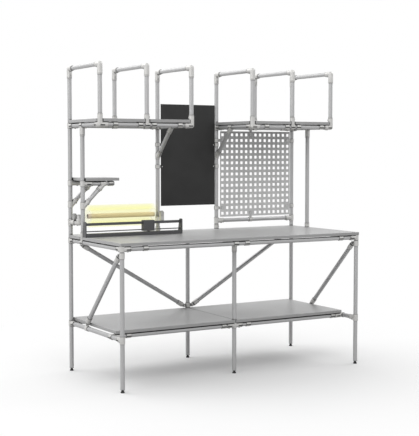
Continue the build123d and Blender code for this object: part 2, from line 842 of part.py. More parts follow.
# End socket of a brace: its tube along Z, and the pivot along Y between two cheeks
cheek_start = tongue_thickness / 2 + fit
with BuildPart() as brace_socket:
    rod(up * fork_root, up * swivel_reach, sleeve_radius)
    for cheek_y in (cheek_start, -cheek_start - cheek_thickness):
        cheek_plane = Plane(origin=(0, cheek_y, 0), x_dir=up, z_dir=back)
        with BuildSketch(cheek_plane) as cheek:
            with Locations((swivel_stop / 2, 0)):
                Rectangle(swivel_stop, 2 * swivel_eye_radius)
            Circle(swivel_eye_radius)
        extrude(amount=cheek_thickness)
    rod(up * swivel_stop, up * (swivel_reach + overrun), sleeve_bore_radius, Mode.SUBTRACT)
    pivot_half = cheek_start + cheek_thickness + overrun
    rod(front * pivot_half, back * pivot_half, pivot_radius + fit, Mode.SUBTRACT)

with BuildPart() as tee_joints:
    with Locations(*rail_tees):
        add(rail_tee.part, clean=False)
    with Locations(*post_tees):
        add(post_tee.part, clean=False)
tee_joints.part.label = "tee_joints"
export_step(tee_joints.part, "parts/tee_joints.step")

with BuildPart() as corner_joints:
    with Locations(*corners):
        add(corner.part, clean=False)
    with Locations(*crosses):
        add(cross.part, clean=False)
corner_joints.part.label = "corner_joints"
export_step(corner_joints.part, "parts/corner_joints.step")

with BuildPart() as shelf_corner_joints:
    with Locations(*shelf_corners):
        add(shelf_corner.part, clean=False)
shelf_corner_joints.part.label = "shelf_corner_joints"
export_step(shelf_corner_joints.part, "parts/shelf_corner_joints.step")

with BuildPart() as elbow_joints:
    with Locations(*hoop_elbows):
        add(hoop_elbow.part, clean=False)
    with Locations(*arm_elbows):
        add(arm_elbow.part, clean=False)
elbow_joints.part.label = "elbow_joints"
export_step(elbow_joints.part, "parts/elbow_joints.step")

with BuildPart() as angle_joints:
    with Locations(*angles):
        add(angle.part, clean=False)
angle_joints.part.label = "angle_joints"
export_step(angle_joints.part, "parts/angle_joints.step")

with BuildPart() as swivel_joints:
    with Locations(*single_swivels):
        add(single_swivel.part, clean=False)
    with Locations(*double_swivels):
        add(double_swivel.part, clean=False)
    with Locations(*brace_sockets):
        add(brace_socket.part, clean=False)
swivel_joints.part.label = "swivel_joints"
export_step(swivel_joints.part, "parts/swivel_joints.step")

# Clips that hold the boards on the rails and the sheets on the posts
with BuildPart() as board_clip:
    rod(left * clip_half, right * clip_half, sleeve_radius)
    wing_bottom = sleeve_radius - wing_thickness
    block((-wing_half_width, 0, wing_bottom), (wing_half_width, wing_length, sleeve_radius))
    clip_end = clip_half + overrun
    rod(left * clip_end, right * clip_end, sleeve_bore_radius, Mode.SUBTRACT)
    slot_low = (-clip_end, -clip_slot / 2, -sleeve_radius - overrun)
    block(slot_low, (clip_end, clip_slot / 2, 0), Mode.SUBTRACT)
    hole_foot = (0, clip_screw_y, 0)
    hole_end = (0, clip_screw_y, sleeve_radius + overrun)
    rod(hole_foot, hole_end, clip_screw_radius + fit, Mode.SUBTRACT)

with BuildPart() as panel_clip:
    sheet_clip_shell(panel_tongue_reach, panel_rivet_reach)
with BuildPart() as back_board_clip:
    sheet_clip_shell(tongue_reach, rivet_reach)

board_clip_places = worktop_clips + lower_clips + top_clips + small_clips
with BuildPart() as clips:
    with Locations(*board_clip_places):
        add(board_clip.part, clean=False)
    with Locations(*panel_clips):
        add(panel_clip.part, clean=False)
    with Locations(*back_board_clips):
        add(back_board_clip.part, clean=False)
clips.part.label = "clips"
export_step(clips.part, "parts/clips.step")

# Sheets in front of the rear posts. The rivets of the panel go through its square holes.
with BuildPart() as perforated_panel:
    panel_plane = Plane((divider_x, sheet_back_y, panel_z), x_dir=right, z_dir=front)
    with BuildSketch(panel_plane) as panel_outline:
        Rectangle(panel_right_x - panel_left_x, panel_top - panel_bottom)
        with GridLocations(panel_pitch, panel_pitch, panel_columns, panel_rows):
            Rectangle(panel_hole, panel_hole, mode=Mode.SUBTRACT)
    extrude(amount=sheet_thickness)
perforated_panel.part.label = "perforated_panel"
export_step(perforated_panel.part, "parts/perforated_panel.step")

with BuildPart() as back_board:
    low_corner = (-back_board_half_width, sheet_back_y - sheet_thickness, back_board_bottom)
    block(low_corner, (back_board_half_width, sheet_back_y, back_board_top))
    rivet_hole_end = front * (sheet_offset + sheet_thickness + overrun)
    for plane in back_board_clips:
        place = plane.origin + plane.x_dir * rivet_reach
        rod(place, place + rivet_hole_end, rivet_radius + fit, Mode.SUBTRACT)
back_board.part.label = "back_board"
export_step(back_board.part, "parts/back_board.step")

# Fasteners: grub screws of the joints, pivot bolts, clip screws and rivets
with BuildPart() as pivot_bolt:
    bolt_end = cheek_start + cheek_thickness + fit
    rod(front * bolt_end, back * bolt_end, pivot_radius)
    rod(back * bolt_end, back * (bolt_end + pivot_head_height), pivot_head_radius)
    rod(front * (bolt_end + pivot_head_height), front * bolt_end, pivot_head_radius)
    with BuildSketch(Plane(origin=back * (bolt_end + pivot_head_height), z_dir=front)) as key:
        RegularPolygon(key_width, 6, major_radius=False)
    extrude(amount=key_depth, mode=Mode.SUBTRACT)

with BuildPart() as clip_screw:
    head_top = sleeve_radius - wing_thickness - fit
    screw_foot = Vector(0, clip_screw_y, head_top)
    rod(screw_foot + down * clip_head_height, screw_foot, clip_head_radius)
    shank_top = sleeve_radius + fit + clip_screw_bite
    rod(screw_foot, (0, clip_screw_y, shank_top), clip_screw_radius)

with BuildPart() as panel_rivet:
    rivet_solid(panel_rivet_reach, panel_rivet_head_radius)
with BuildPart() as back_board_rivet:
    rivet_solid(rivet_reach, rivet_head_radius)

screw_sets = (
    (rail_tee_sleeves, rail_tees),
    (post_tee_sleeves, post_tees),
    (corner_sleeves, corners),
    (cross_sleeves, crosses),
    (shelf_corner_sleeves, shelf_corners),
    (hoop_elbow_sleeves, hoop_elbows),
    (arm_elbow_sleeves, arm_elbows),
    (angle_sleeves, angles),
)
grub_sets = []
for sleeves, places in screw_sets:
    with BuildPart() as grubs:
        grub_screws(sleeves)
    grub_sets.append((grubs.part, places))

with BuildPart() as fasteners:
    for grub_part, places in grub_sets:
        with Locations(*places):
            add(grub_part, clean=False)
    with Locations(*brace_sockets):
        add(pivot_bolt.part, clean=False)
    with Locations(*board_clip_places):
        add(clip_screw.part, clean=False)
    with Locations(*panel_clips):
        add(panel_rivet.part, clean=False)
    with Locations(*back_board_clips):
        add(back_board_rivet.part, clean=False)
fasteners.part.label = "fasteners"
export_step(fasteners.part, "parts/fasteners.step")

# Roll of film: the caps of the axle lie on the arms, a card tube slides over the axle, and two
# cones on the card tube hold the film, which is wound without a core of its own
axle_z = arm_z + sleeve_radius + axle_cap_radius + fit
axle_left_x = axle_cap_inset - post_x
axle_right_x = -inner_x - axle_cap_inset
with BuildPart() as roll_axle:
    pipe((axle_left_x, axle_y, axle_z), (axle_right_x, axle_y, axle_z))
    rod(
        (axle_left_x - axle_cap_thickness, axle_y, axle_z),
        (axle_left_x, axle_y, axle_z),
        axle_cap_radius,
    )
    rod(
        (axle_right_x, axle_y, axle_z),
        (axle_right_x + axle_cap_thickness, axle_y, axle_z),
        axle_cap_radius,
    )
roll_axle.part.label = "roll_axle"
export_step(roll_axle.part, "parts/roll_axle.step")

core_bore_radius = tube_radius + fit
core_radius = core_bore_radius + core_wall
with BuildPart() as roll_core:
    core_left = (film_left_x - core_proud, axle_y, axle_z)
    core_right = (film_right_x + core_proud, axle_y, axle_z)
    pipe(core_left, core_right, core_radius, core_bore_radius)
roll_core.part.label = "roll_core"
export_step(roll_core.part, "parts/roll_core.step")

with BuildPart() as film_roll:
    film_left = (film_left_x, axle_y, axle_z)
    film_right = (film_right_x, axle_y, axle_z)
    pipe(film_left, film_right, film_diameter / 2, film_bore_radius)
film_roll.part.label = "film_roll"
export_step(film_roll.part, "parts/film_roll.step")

cone_bore_radius = core_radius + fit
with BuildPart() as core_cone:
    with BuildSketch(Plane.XZ) as cone_profile:
        with BuildLine():
            Polyline(
                (-cone_flange_length, cone_bore_radius),
                (-cone_flange_length, cone_flange_radius),
                (-fit, cone_flange_radius),
                (-fit, film_bore_radius - fit),
                (0, film_bore_radius - fit),
                (cone_taper_length, cone_tip_radius),
                (cone_taper_length, cone_bore_radius),
                close=True,
            )
        make_face()
    revolve(axis=Axis.X)
with BuildPart() as roll_cones:
    with Locations(
        Plane(film_left, x_dir=right, z_dir=up),
        Plane(film_right, x_dir=left, z_dir=up),
    ):
        add(core_cone.part, clean=False)
roll_cones.part.label = "roll_cones"
export_step(roll_cones.part, "parts/roll_cones.step")

# Film cutter: an upturned channel on the worktop, two end plates, a guide bar and a press rod
cutter_back_y = cutter_front_y + cutter_depth
channel_left = cutter_left_x + end_plate_thickness
channel_right = cutter_right_x - end_plate_thickness
with BuildPart() as cutter_base:
    low_corner = (channel_left, cutter_front_y, cutter_base_z)
    block(low_corner, (channel_right, cutter_back_y, cutter_deck_z))
    hollow_low = (channel_left - overrun, cutter_front_y + cutter_wall, cutter_base_z - overrun)
    hollow_high = (channel_right + overrun, cutter_back_y - cutter_wall, cutter_deck_z - cutter_wall)
    block(hollow_low, hollow_high, Mode.SUBTRACT)
    groove_low = (
        channel_left - overrun,
        blade_y - blade_groove_width / 2,
        cutter_deck_z - blade_groove_depth,
    )
    groove_high = (
        channel_right + overrun,
        blade_y + blade_groove_width / 2,
        cutter_deck_z + overrun,
    )
    block(groove_low, groove_high, Mode.SUBTRACT)
cutter_base.part.label = "cutter_base"
export_step(cutter_base.part, "parts/cutter_base.step")

with BuildPart() as cutter_end_plates:
    for plate_x in (cutter_left_x, channel_right):
        plate_plane = Plane((plate_x, cutter_front_y, cutter_base_z), x_dir=back, z_dir=right)
        with BuildSketch(plate_plane) as plate_outline:
            with BuildLine():
                Polyline(
                    (0, 0),
                    (cutter_depth, 0),
                    (cutter_depth, cutter_base_height),
                    (end_plate_top_depth, end_plate_height),
                    (0, end_plate_height),
                    close=True,
                )
            make_face()
            top_corners = plate_outline.vertices().group_by(Axis.Z)[-1]
            fillet(top_corners, end_plate_corner)
        extrude(amount=end_plate_thickness)
cutter_end_plates.part.label = "cutter_end_plates"
export_step(cutter_end_plates.part, "parts/cutter_end_plates.step")

with BuildPart() as cutter_bars:
    bar_start = channel_left + fit
    bar_end = channel_right - fit
    bar_low = (bar_start, guide_y - guide_depth / 2, guide_z - guide_height / 2)
    block(bar_low, (bar_end, guide_y + guide_depth / 2, guide_z + guide_height / 2))
    rod((bar_start, guide_y, rod_z), (bar_end, guide_y, rod_z), rod_radius)
cutter_bars.part.label = "cutter_bars"
export_step(cutter_bars.part, "parts/cutter_bars.step")

# Carriage: slides on the guide bar, straddles the press rod and holds the blade in a slot
blade_z = cutter_deck_z + blade_gap + blade_radius
carriage_left = carriage_x - carriage_length / 2
carriage_right = carriage_x + carriage_length / 2
with BuildPart() as cutter_carriage:
    low_corner = (carriage_left, carriage_front_y, carriage_bottom_z)
    block(low_corner, (carriage_right, carriage_back_y, carriage_top_z))
    fillet(cutter_carriage.edges().filter_by(Axis.Z), carriage_corner)
    window_low = (
        carriage_left - overrun,
        guide_y - guide_depth / 2 - guide_play,
        guide_z - guide_height / 2 - guide_play,
    )
    window_high = (
        carriage_right + overrun,
        guide_y + guide_depth / 2 + guide_play,
        guide_z + guide_height / 2 + guide_play,
    )
    block(window_low, window_high, Mode.SUBTRACT)
    mouth_half = rod_radius + guide_play
    mouth_low = (carriage_left - overrun, guide_y - mouth_half, carriage_bottom_z - overrun)
    mouth_high = (carriage_right + overrun, guide_y + mouth_half, rod_z + mouth_half)
    block(mouth_low, mouth_high, Mode.SUBTRACT)
    slot_half = blade_radius + blade_slot_gap
    slot_low_y = blade_y - blade_thickness / 2 - blade_slot_gap
    slot_high_y = blade_y + blade_thickness / 2 + blade_slot_gap
    slot_low = (carriage_x - slot_half, slot_low_y, carriage_bottom_z - overrun)
    block(slot_low, (carriage_x + slot_half, slot_high_y, blade_z + slot_half), Mode.SUBTRACT)
    pin_front = (carriage_x, carriage_front_y, blade_z)
    rod(pin_front, (carriage_x, slot_high_y + guide_play, blade_z), blade_hub_radius)
cutter_carriage.part.label = "cutter_carriage"
export_step(cutter_carriage.part, "parts/cutter_carriage.step")

with BuildPart() as cutter_blade:
    with BuildSketch(Plane.XY) as blade_profile:
        with BuildLine():
            Polyline(
                (blade_hub_radius + fit, -blade_thickness / 2),
                (blade_radius - blade_bevel, -blade_thickness / 2),
                (blade_radius, 0),
                (blade_radius - blade_bevel, blade_thickness / 2),
                (blade_hub_radius + fit, blade_thickness / 2),
                close=True,
            )
        make_face()
    revolve(axis=Axis.Y)
cutter_blade.part.label = "cutter_blade"
cutter_blade.part.position = (carriage_x, blade_y, blade_z)
export_step(cutter_blade.part, "parts/cutter_blade.step")

# Levelling feet, with their threaded inserts in the ends of the legs
feet = {
    "foot_front_left": (-post_x, -post_y),
    "foot_front_middle": (0, lower_front_y),
    "foot_front_right": (post_x, -post_y),
    "foot_rear_left": (-post_x, post_y),
    "foot_rear_middle": (0, post_y),
    "foot_rear_right": (post_x, post_y),
}
for name, (x, y) in feet.items():
    with BuildPart() as foot:
        foot_plane = Plane((x, y, 0), x_dir=right, z_dir=front)
        with BuildSketch(foot_plane) as foot_profile:
            with BuildLine():
                Polyline(
                    (0, 0),
                    (foot_radius, 0),
                    (foot_radius, foot_rim),
                    (foot_neck_radius, foot_neck_z),
                    (stud_radius, foot_neck_z),
                    (stud_radius, stud_top_z),
                    (0, stud_top_z),
                    close=True,
                )
            make_face()
        revolve(axis=Axis((x, y, 0), up))
    foot.part.label = name
    export_step(foot.part, f"parts/{name}.step")

with BuildPart() as foot_inserts:
    for x, y in feet.values():
        flange_low = leg_bottom - fit - insert_flange
        rod((x, y, flange_low), (x, y, leg_bottom - fit), tube_radius)
        rod((x, y, leg_bottom - fit), (x, y, leg_bottom + insert_depth), tube_bore_radius - fit)
        thread_low = (x, y, flange_low - overrun)
        thread_high = (x, y, leg_bottom + insert_depth + overrun)
        rod(thread_low, thread_high, stud_radius + fit, Mode.SUBTRACT)
foot_inserts.part.label = "foot_inserts"
export_step(foot_inserts.part, "parts/foot_inserts.step")
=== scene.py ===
from math import cos, radians, sin

import bpy
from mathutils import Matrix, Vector


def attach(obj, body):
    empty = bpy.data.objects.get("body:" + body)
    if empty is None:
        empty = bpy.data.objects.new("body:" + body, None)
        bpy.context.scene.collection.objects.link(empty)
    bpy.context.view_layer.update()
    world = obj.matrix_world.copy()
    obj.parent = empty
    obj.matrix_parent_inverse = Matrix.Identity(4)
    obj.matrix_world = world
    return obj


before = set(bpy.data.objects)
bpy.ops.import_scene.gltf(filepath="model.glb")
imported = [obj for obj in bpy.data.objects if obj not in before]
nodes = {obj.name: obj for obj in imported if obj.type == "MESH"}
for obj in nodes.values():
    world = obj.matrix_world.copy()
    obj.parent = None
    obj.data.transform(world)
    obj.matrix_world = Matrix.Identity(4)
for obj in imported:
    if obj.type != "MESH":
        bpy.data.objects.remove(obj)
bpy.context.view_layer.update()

# Camera of the photograph: place in metres, tilt and turn in degrees, lens and film width in mm
camera_place = (-3.6742, -6.1350, 1.4542)
camera_tilt = 86.44
camera_turn = -30.58
camera_lens = 88.15
camera_film = 36

# Studio: an even light from all round, and soft banks of light, each as a direction and a level.
# The white is the level at which the studio itself is seen.
dome_even = 0.25
dome_banks = (
    ((-1.0, 0.0, 0.0), 0.68),
    ((0.0, -1.0, 0.0), 0.52),
    ((0.0, 1.0, 0.0), 0.68),
)
dome_white = 1.0

# Soft square lamps: place in metres and power in watts
lamps = {
    "key_lamp": ((-5.0, -2.0, 3.2), 55),
    "front_lamp": ((0.0, -3.5, 4.5), 38),
    "right_lamp": ((4.0, 0.0, 4.5), 86),
    "back_lamp": ((0.0, 3.5, 4.5), 36),
    "left_back_lamp": ((-3.0, 2.5, 4.5), 72),
}
lamp_width = 3.0
lamp_aim = (0, 0, 0.9)

# Floor: half its width in metres, its tone where it is seen, its tone for the light that it
# gives back, and the white that it adds where it is seen
floor_half = 9
floor_albedo = 0.8
floor_bounce = 0.3
floor_lift = 0.1
floor_roughness = 0.9
floor_specular = 0.1

# Distances from the middle over which the floor turns into the white backdrop, in metres
floor_fade_start = 0.9
floor_fade_end = 2.4

# Axes of the frame's tubes, in metres, as in the CAD
post_x = 0.886
inner_x = 0.236
divider_x = 0.561
back_y = 0.386
side_post_y = 0.186
lower_front_y = -0.236
shelf_front_y = -0.086
worktop_rail_z = 0.8697
lower_rail_z = 0.3187
top_rail_z = 1.6237
panel_rail_z = 0.964
small_rail_z = 1.2477
sleeve_radius = 0.017

# Painted shade strips along the clamps' lower edges: how far their middle is below the level and
# how high they are, both in degrees round the tube, then how far they stand out and half their
# length, in metres
shade_strip_angle = 15
shade_strip_span = 24
shade_strip_proud = 0.00025
shade_strip_half = 0.0155
shade_strip_steps = 6

# Places of the painted shade strips along X, in metres: from a post's axis to the strip on its
# socket, at the ends and beside the dividers of the top shelves, and at the board clips
socket_shade_strip_at = 0.040
shelf_corner = 0.874
shelf_end = 0.248
divider_side = 0.048
worktop_clips = (-0.729, -0.083, 0.751)
lower_clips = (-0.774, -0.083, 0.105, 0.798)
left_shelf_clips = (-0.784, -0.325)
right_shelf_clips = (0.344, 0.804)
small_shelf_clip = -0.69

# Range in which most values of a noise lie
noise_low = 0.3
noise_high = 0.7

# Share of its own colour that is left of a surface deep in a groove, under the painted shade
groove_shade_share = 0.1

# Sockets of the Mix node that serve colours
mix_factor, mix_first, mix_second, mix_result = 0, 6, 7, 2


def shader_tree(name):
    """A new material with its node tree and its Principled shader."""
    material = bpy.data.materials.new(name)
    material.use_nodes = True
    tree = material.node_tree
    return material, tree, tree.nodes["Principled BSDF"]


def add_node(tree, kind, **values):
    """A node of that kind. Names of inputs in values have underscores for spaces."""
    node = tree.nodes.new(kind)
    for key, value in values.items():
        if hasattr(node, key):
            setattr(node, key, value)
        else:
            node.inputs[key.replace("_", " ")].default_value = value
    return node


def link(tree, source, target):
    tree.links.new(source, target)


def object_place(tree):
    """Points in the piece's own axes, in metres."""
    return add_node(tree, "ShaderNodeTexCoord").outputs["Object"]


def object_normal(tree):
    """Surface direction in the piece's own axes. It stays the same along a tube."""
    return add_node(tree, "ShaderNodeTexCoord").outputs["Normal"]


def split_axes(tree, vector):
    """The X, Y and Z of a vector, by name."""
    node = add_node(tree, "ShaderNodeSeparateXYZ")
    link(tree, vector, node.inputs[0])
    return node.outputs


def scaled_vector(tree, vector, factors):
    """Vector with each of its parts multiplied."""
    node = add_node(tree, "ShaderNodeVectorMath", operation="MULTIPLY")
    node.inputs[1].default_value = factors
    link(tree, vector, node.inputs[0])
    return node.outputs["Vector"]


def noise(tree, place, scale, detail, roughness=0.5):
    """Noise with that many cells in a metre."""
    texture = add_node(tree, "ShaderNodeTexNoise", Scale=scale, Detail=detail, Roughness=roughness)
    link(tree, place, texture.inputs["Vector"])
    return texture.outputs["Fac"]


def remap(tree, value, low, high, to_low, to_high):
    """Value from the range low to high, in the range to_low to to_high, kept inside it."""
    node = add_node(tree, "ShaderNodeMapRange")
    node.inputs["From Min"].default_value = low
    node.inputs["From Max"].default_value = high
    node.inputs["To Min"].default_value = to_low
    node.inputs["To Max"].default_value = to_high
    link(tree, value, node.inputs["Value"])
    return node.outputs["Result"]


def amount_of(tree, value, low=noise_low, high=noise_high):
    """Zero to one, for a value from low to high."""
    return remap(tree, value, low, high, 0, 1)


def math_node(tree, operation, first, second=0):
    """Sum, product or the like of two values, each a socket or a number."""
    node = add_node(tree, "ShaderNodeMath", operation=operation)
    for socket, value in zip(node.inputs, (first, second)):
        if isinstance(value, (int, float)):
            socket.default_value = value
        else:
            link(tree, value, socket)
    return node.outputs["Value"]


def weighted(tree, first, second, share):
    """Two values in one, with that share of the first."""
    first_part = math_node(tree, "MULTIPLY", first, share)
    second_part = math_node(tree, "MULTIPLY", second, 1 - share)
    return math_node(tree, "ADD", first_part, second_part)


def blend_colours(tree, amount, first, second):
    """The first colour at zero and the second at one, each a socket or three numbers."""
    node = add_node(tree, "ShaderNodeMix", data_type="RGBA")
    link(tree, amount, node.inputs[mix_factor])
    for place, value in ((mix_first, first), (mix_second, second)):
        if isinstance(value, tuple):
            node.inputs[place].default_value = (*value, 1)
        else:
            link(tree, value, node.inputs[place])
    return node.outputs[mix_result]


def grey(level):
    return (level, level, level)


def tinted(colour, share):
    """Colour made lighter or darker by a share."""
    return tuple(min(1.0, channel * share) for channel in colour)


def varied(tree, amount, colour, low, high):
    """Colour that goes from one tint of itself to another."""
    return blend_colours(tree, amount, tinted(colour, low), tinted(colour, high))


def worn_edges_and_painted_highlight(tree, colours, width, share, edge_colour):
    """Colours lighter along edges sharper than the width in metres, partly rubbed wear and partly
    a painted highlight, and the rounded normal.
    """
    bevel = add_node(tree, "ShaderNodeBevel", samples=4, Radius=width)
    flat = add_node(tree, "ShaderNodeNewGeometry")
    dot = add_node(tree, "ShaderNodeVectorMath", operation="DOT_PRODUCT")
    link(tree, bevel.outputs["Normal"], dot.inputs[0])
    link(tree, flat.outputs["Normal"], dot.inputs[1])
    edge = amount_of(tree, dot.outputs["Value"], low=0.98, high=0.8)
    wear_and_highlight = math_node(tree, "MULTIPLY", edge, share)
    return blend_colours(tree, wear_and_highlight, colours, edge_colour), bevel.outputs["Normal"]


def painted_groove_shade(tree, colours, colour, reach, closed=0.55, open_from=0.95):
    """Colours darkened by painted shade in grooves and against neighbours, within that reach in
    metres.
    """
    node = add_node(tree, "ShaderNodeAmbientOcclusion", samples=8, Distance=reach)
    openness = amount_of(tree, node.outputs["AO"], closed, open_from)
    return blend_colours(tree, openness, tinted(colour, groove_shade_share), colours)


def set_surface(tree, shader, colours, value, smoothest, roughest):
    """Links the base colour, and the roughness between two levels by the value of a noise."""
    link(tree, colours, shader.inputs["Base Color"])
    roughness = remap(tree, value, noise_low, noise_high, smoothest, roughest)
    link(tree, roughness, shader.inputs["Roughness"])


def bumped(tree, shader, heights, edge_normal=None):
    """Bump from (value, height in metres) pairs, one over the other."""
    normal = edge_normal
    for value, height in heights:
        bump = add_node(tree, "ShaderNodeBump", Strength=1.0, Distance=height)
        link(tree, value, bump.inputs["Height"])
        if normal:
            link(tree, normal, bump.inputs["Normal"])
        normal = bump.outputs["Normal"]
    link(tree, normal, shader.inputs["Normal"])


def drawn_tube(name, colour, roughness, metallic):
    """Drawn and anodised tube: faint lines along its length, and a slow change of tone."""
    material, tree, shader = shader_tree(name)
    place = object_place(tree)
    lines = noise(tree, object_normal(tree), scale=45, detail=3)
    slow = noise(tree, place, scale=4, detail=3)
    grain = noise(tree, place, scale=900, detail=2)
    tone = weighted(tree, lines, slow, share=0.6)
    colours = varied(tree, amount_of(tree, tone), colour, low=0.97, high=1.03)
    # Lighter edges: partly rubbed wear, partly a painted highlight
    colours, edge_normal = worn_edges_and_painted_highlight(
        tree, colours, width=0.0008, share=0.35, edge_colour=tinted(colour, 1.25)
    )
    # Painted shade: darker in grooves and against neighbouring parts
    colours = painted_groove_shade(tree, colours, colour, reach=0.012)
    set_surface(tree, shader, colours, tone, roughness - 0.03, roughness + 0.04)
    shader.inputs["Metallic"].default_value = metallic
    bumped(tree, shader, ((lines, 0.00001), (grain, 0.00002)), edge_normal)
    return material


def cast_metal(name, colour, roughness, metallic):
    """Fine cast or blasted metal: pitted grain, brighter edges (partly worn, partly a painted
    highlight) and a slow tone.
    """
    material, tree, shader = shader_tree(name)
    place = object_place(tree)
    grain = noise(tree, place, scale=700, detail=4, roughness=0.6)
    patches = noise(tree, place, scale=18, detail=3)
    colours = varied(tree, amount_of(tree, patches), colour, low=0.93, high=1.04)
    # Lighter edges: partly rubbed wear, partly a painted highlight
    colours, edge_normal = worn_edges_and_painted_highlight(
        tree, colours, width=0.001, share=0.5, edge_colour=tinted(colour, 1.18)
    )
    # Painted shade: darker in grooves and against neighbouring parts
    colours = painted_groove_shade(tree, colours, colour, reach=0.009)
    set_surface(tree, shader, colours, grain, roughness - 0.06, roughness + 0.1)
    shader.inputs["Metallic"].default_value = metallic
    bumped(tree, shader, ((grain, 0.00006),), edge_normal)
    return material


def painted(name, colour, roughness, wear_and_highlight_share):
    """Powder coat: orange peel, a little dust in the tone, and edges partly rubbed and partly lit
    by a painted highlight.
    """
    material, tree, shader = shader_tree(name)
    place = object_place(tree)
    peel = noise(tree, place, scale=420, detail=2)
    dust = noise(tree, place, scale=9, detail=4)
    colours = varied(tree, amount_of(tree, dust, low=0.35), colour, low=0.95, high=1.06)
    # Lighter edges: partly rubbed wear, partly a painted highlight
    colours, edge_normal = worn_edges_and_painted_highlight(
        tree, colours, width=0.0008, share=wear_and_highlight_share, edge_colour=tinted(colour, 1.5)
    )
    set_surface(tree, shader, colours, dust, roughness - 0.04, roughness + 0.08)
    bumped(tree, shader, ((peel, 0.00005),), edge_normal)
    return material


def melamine(name, face_colour, edge_colour, roughness):
    """Board faced with fine pearl melamine, with a plain edge band round it."""
    material, tree, shader = shader_tree(name)
    place = object_place(tree)
    pearl = noise(tree, place, scale=650, detail=3, roughness=0.7)
    cloud = noise(tree, place, scale=3, detail=4)
    tone = amount_of(tree, weighted(tree, pearl, cloud, share=0.7), low=0.38, high=0.62)
    face = varied(tree, tone, face_colour, low=0.93, high=1.06)
    levelness = math_node(tree, "ABSOLUTE", split_axes(tree, object_normal(tree))["Z"])
    is_face = amount_of(tree, levelness, low=0.35, high=0.5)
    colours = blend_colours(tree, is_face, edge_colour, face)
    # Lighter edges: partly rubbed wear, partly a painted highlight
    colours, edge_normal = worn_edges_and_painted_highlight(
        tree, colours, width=0.0009, share=0.3, edge_colour=tinted(face_colour, 1.35)
    )
    # Painted shade: darker in grooves and against neighbouring parts
    colours = painted_groove_shade(tree, colours, edge_colour, reach=0.01, closed=0.72, open_from=0.98)
    set_surface(tree, shader, colours, cloud, roughness - 0.05, roughness + 0.06)
    bumped(tree, shader, ((pearl, 0.00003),), edge_normal)
    return material


def moulded(name, colour, roughness):
    """Moulded plastic or rubber with a fine texture."""
    material, tree, shader = shader_tree(name)
    place = object_place(tree)
    grain = noise(tree, place, scale=1100, detail=3, roughness=0.6)
    cloud = noise(tree, place, scale=30, detail=2)
    colours = varied(tree, cloud, colour, low=0.8, high=1.35)
    # Lighter edges: partly rubbed wear, partly a painted highlight
    colours, edge_normal = worn_edges_and_painted_highlight(
        tree, colours, width=0.0006, share=0.4, edge_colour=tinted(colour, 2.2)
    )
    set_surface(tree, shader, colours, grain, roughness - 0.05, roughness + 0.1)
    bumped(tree, shader, ((grain, 0.00008),), edge_normal)
    return material


def wound_card(name, colour, turns_per_metre, slant, roughness):
    """Card tube: a strip wound in a long screw, with its seams."""
    material, tree, shader = shader_tree(name)
    place = object_place(tree)
    axes = split_axes(tree, place)
    fibres = noise(tree, place, scale=500, detail=4, roughness=0.7)
    along = math_node(tree, "ADD", axes["X"], math_node(tree, "MULTIPLY", axes["Z"], slant))
    turn = math_node(tree, "FRACT", math_node(tree, "MULTIPLY", along, turns_per_metre))
    seam = math_node(tree, "MULTIPLY", amount_of(tree, turn, low=0.05, high=0.0), 0.5)
    colours = varied(tree, fibres, colour, low=0.92, high=1.0)
    colours = blend_colours(tree, seam, colours, tinted(colour, 0.6))
    link(tree, colours, shader.inputs["Base Color"])
    shader.inputs["Roughness"].default_value = roughness
    bumped(tree, shader, ((fibres, 0.00012),))
    return material


def wound_film(name, colour, alpha, absorbed, density, roughness):
    """Clear wound film: light goes straight through it and loses blue along its way."""
    material, tree, shader = shader_tree(name)
    place = object_place(tree)
    bands = noise(tree, scaled_vector(tree, place, (60, 0.5, 0.5)), scale=1, detail=3)
    wrinkles = noise(tree, scaled_vector(tree, place, (2, 40, 40)), scale=1, detail=3)
    tone = amount_of(tree, weighted(tree, bands, wrinkles, share=0.5), low=0.35, high=0.65)
    colours = varied(tree, tone, colour, low=0.95, high=1.0)
    link(tree, colours, shader.inputs["Base Color"])
    shader.inputs["Roughness"].default_value = roughness
    shader.inputs["Alpha"].default_value = alpha
    bumped(tree, shader, ((wrinkles, 0.0004),))
    absorption = add_node(tree, "ShaderNodeVolumeAbsorption", Density=density)
    absorption.inputs["Color"].default_value = (*absorbed, 1)
    link(tree, absorption.outputs["Volume"], tree.nodes["Material Output"].inputs["Volume"])
    return material


def natural_plastic(name, colour, alpha, cap_colour=None, clear_from=0.0, clear_to=0.0):
    """Translucent uncoloured plastic. With a cap's colour it is solid outside a range of X."""
    material, tree, shader = shader_tree(name)
    place = object_place(tree)
    cloud = noise(tree, place, scale=60, detail=3)
    colours = varied(tree, cloud, colour, low=0.95, high=1.0)
    if cap_colour:
        axes = split_axes(tree, place)
        beyond_left = math_node(tree, "LESS_THAN", axes["X"], clear_from)
        beyond_right = math_node(tree, "GREATER_THAN", axes["X"], clear_to)
        capped = math_node(tree, "MAXIMUM", beyond_left, beyond_right)
        colours = blend_colours(tree, capped, colours, cap_colour)
        link(tree, remap(tree, capped, 0, 1, alpha, 1), shader.inputs["Alpha"])
    else:
        shader.inputs["Alpha"].default_value = alpha
    set_surface(tree, shader, colours, cloud, smoothest=0.38, roughest=0.5)
    bumped(tree, shader, ((cloud, 0.0001),))
    return material


def dress(material, *names):
    """Gives CAD nodes their material."""
    for name in names:
        slots = nodes[name].material_slots
        if not slots:
            nodes[name].data.materials.append(material)
        for slot in slots:
            slot.material = material


